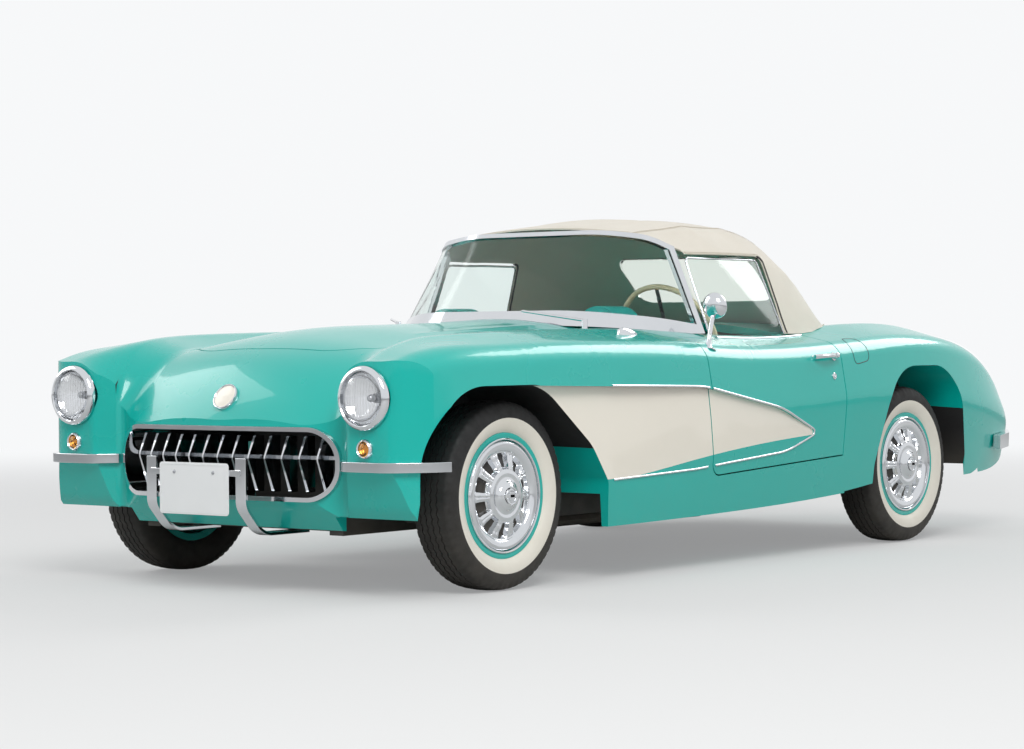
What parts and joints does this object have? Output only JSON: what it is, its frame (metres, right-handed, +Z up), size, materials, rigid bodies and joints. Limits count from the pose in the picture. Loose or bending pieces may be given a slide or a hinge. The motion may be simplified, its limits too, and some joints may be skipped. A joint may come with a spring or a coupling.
{
  "type": "two-seat convertible car of the middle 1950s",
  "caption": "Two-seat open touring car with its cloth top up, turning and steering wheels, and opening doors, hood and trunk lid.",
  "frame": {"origin": "on the ground under the middle of the car's length and width", "axes": "+X is the car's left, the nose points to -Y, +Z is up"},
  "size_m": [1.7938, 4.28, 1.3082],
  "materials": {
    "paint": "gloss turquoise lacquer",
    "chrome": "bright chrome plate",
    "steel": "black chassis paint",
    "cast": "cast iron, oily",
    "glass": "clear laminated glass",
    "lens": "ribbed clear glass",
    "tail_lens": "red moulded lens",
    "canvas": "off-white coated cloth",
    "clear_sheet": "flexible clear window sheet",
    "upholstery": "beige vinyl",
    "trim": "turquoise padded vinyl",
    "carpet": "dark floor covering",
    "ivory": "ivory moulded rim",
    "wheel": "turquoise rim with bright cover",
    "tyre": "black rubber with a white side band",
    "exhaust": "dull steel"
  },
  "bodies": {
    "body": {"body_shell": "paint", "deck_lid": "paint", "cockpit_tub": "carpet", "chassis_frame": "steel", "radiator": "cast", "engine_block": "cast", "drive_shaft": "cast", "dashboard": "trim", "seats": "upholstery", "steering_column": "steel", "windshield_frame": "chrome", "windshield_glass": "glass", "soft_top": "canvas", "rear_window": "clear_sheet", "grille_surround": "chrome", "grille_teeth": "chrome", "front_bumpers": "chrome", "bumper_guards": "chrome", "rear_bumpers": "chrome", "front_lamp_rims": "chrome", "front_lamp_lenses": "lens", "tail_lamps": "tail_lens", "wipers": "chrome", "front_suspension": "steel", "rear_axle": "steel", "exhaust": "exhaust"},
    "hood": {"hood": "paint"},
    "trunk_lid": {"trunk_lid": "paint"},
    "door_left": {"door_left": "paint", "door_glass_left": "glass", "door_mirror": "chrome"},
    "door_right": {"door_right": "paint", "door_glass_right": "glass"},
    "steering_wheel": {"steering_wheel": "ivory"},
    "knuckle_left": {"knuckle_left": "cast"},
    "knuckle_right": {"knuckle_right": "cast"},
    "front_left_wheel": {"wheel_fl": "wheel", "tyre_fl": "tyre"},
    "front_right_wheel": {"wheel_fr": "wheel", "tyre_fr": "tyre"},
    "rear_left_wheel": {"wheel_rl": "wheel", "tyre_rl": "tyre"},
    "rear_right_wheel": {"wheel_rr": "wheel", "tyre_rr": "tyre"}
  },
  "joints": [
    {"name": "front_left_spin", "type": "hinge", "parent": "knuckle_left", "child": "front_left_wheel", "pos_m": [0.724, -1.49, 0.316], "axis": [1, 0, 0], "continuous": true},
    {"name": "front_right_spin", "type": "hinge", "parent": "knuckle_right", "child": "front_right_wheel", "pos_m": [-0.724, -1.49, 0.316], "axis": [1, 0, 0], "continuous": true},
    {"name": "rear_left_spin", "type": "hinge", "parent": "body", "child": "rear_left_wheel", "pos_m": [0.749, 1.101, 0.316], "axis": [1, 0, 0], "continuous": true},
    {"name": "rear_right_spin", "type": "hinge", "parent": "body", "child": "rear_right_wheel", "pos_m": [-0.749, 1.101, 0.316], "axis": [1, 0, 0], "continuous": true},
    {"name": "steer_left", "type": "hinge", "parent": "body", "child": "knuckle_left", "pos_m": [0.655, -1.49, 0.316], "axis": [0, 0, 1], "range_deg": [-28, 28]},
    {"name": "steer_right", "type": "hinge", "parent": "body", "child": "knuckle_right", "pos_m": [-0.655, -1.49, 0.316], "axis": [0, 0, 1], "range_deg": [-28, 28]},
    {"name": "steering_wheel_turn", "type": "hinge", "parent": "body", "child": "steering_wheel", "pos_m": [0.37, 0.07, 0.838], "axis": [0, 0.9063, 0.4226], "range_deg": [-448, 448]},
    {"name": "door_left_swing", "type": "hinge", "parent": "body", "child": "door_left", "pos_m": [0.896, -0.41, 0.6], "axis": [0, 0, -1], "range_deg": [0, 65]},
    {"name": "door_right_swing", "type": "hinge", "parent": "body", "child": "door_right", "pos_m": [-0.896, -0.41, 0.6], "axis": [0, 0, 1], "range_deg": [0, 65]},
    {"name": "hood_lift", "type": "hinge", "parent": "body", "child": "hood", "pos_m": [0, -1.796, 0.835], "axis": [1, 0, 0], "range_deg": [0, 50]},
    {"name": "trunk_lift", "type": "hinge", "parent": "body", "child": "trunk_lid", "pos_m": [0, 1.106, 0.905], "axis": [1, 0, 0], "range_deg": [0, 60]}
  ],
  "couplings": [
    {"joint": "steer_right", "follows": "steer_left", "ratio": 1},
    {"joint": "steering_wheel_turn", "follows": "steer_left", "ratio": 16}
  ]
}
